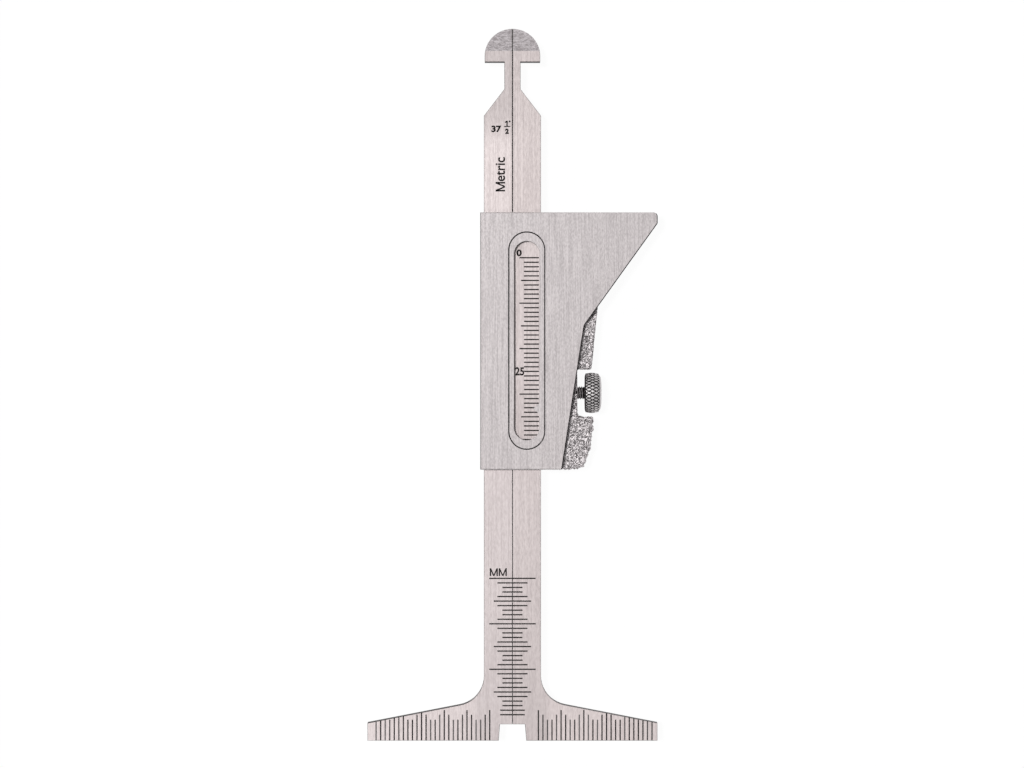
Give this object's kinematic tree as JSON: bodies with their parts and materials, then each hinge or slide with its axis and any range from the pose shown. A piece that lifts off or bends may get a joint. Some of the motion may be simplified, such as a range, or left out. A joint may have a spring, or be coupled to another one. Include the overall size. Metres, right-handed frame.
{
  "type": "weld gauge",
  "caption": "Hooked-blade gauge for the internal alignment and wall thickness of butt-welded pipes, with two sliding graduated blades and a thumb-screw lock.",
  "frame": {"origin": "on the back face of the casting, at the middle of the gauge's overall length and at the joint line between the two blades", "axes": "+Y runs along the blades from the feet to the hooked head, +X to the right when the graduated face is seen, +Z out of that face"},
  "size_m": [0.0638, 0.1568, 0.0092],
  "materials": {
    "cast_steel": "investment-cast stainless steel, rough as cast on its sides",
    "ground_plate": "stainless steel ground along its length, satin",
    "blade_steel": "stainless steel ground along its length, satin, with black-filled graduations",
    "screw_steel": "turned stainless steel with a diamond knurl",
    "shoe_brass": "plain turned brass",
    "spring_steel": "blue-grey rolled spring strip"
  },
  "bodies": {
    "housing": {"cast_body": "cast_steel", "face_plate": "ground_plate", "friction_spring": "spring_steel"},
    "left_blade": {"left_blade": "blade_steel"},
    "right_blade": {"right_blade": "blade_steel"},
    "shoe": {"clamp_shoe": "shoe_brass"},
    "screw": {"thumb_screw": "screw_steel"}
  },
  "joints": [
    {"name": "left_blade_slide", "type": "slide", "parent": "housing", "child": "left_blade", "axis": [0, 1, 0], "range_m": [-0.0332, 0.0449]},
    {"name": "right_blade_slide", "type": "slide", "parent": "housing", "child": "right_blade", "axis": [0, 1, 0], "range_m": [-0.0332, 0.0449]},
    {"name": "shoe_slide", "type": "slide", "parent": "housing", "child": "shoe", "axis": [1, 0, 0], "range_m": [0, 0.00075]},
    {"name": "screw_turn", "type": "hinge", "parent": "shoe", "child": "screw", "pos_m": [0, -0.00186, 0.0047], "axis": [1, 0, 0], "range_deg": [0, 541]}
  ],
  "couplings": [
    {"joint": "screw_turn", "follows": "shoe_slide", "rad_per_m": 12566}
  ]
}
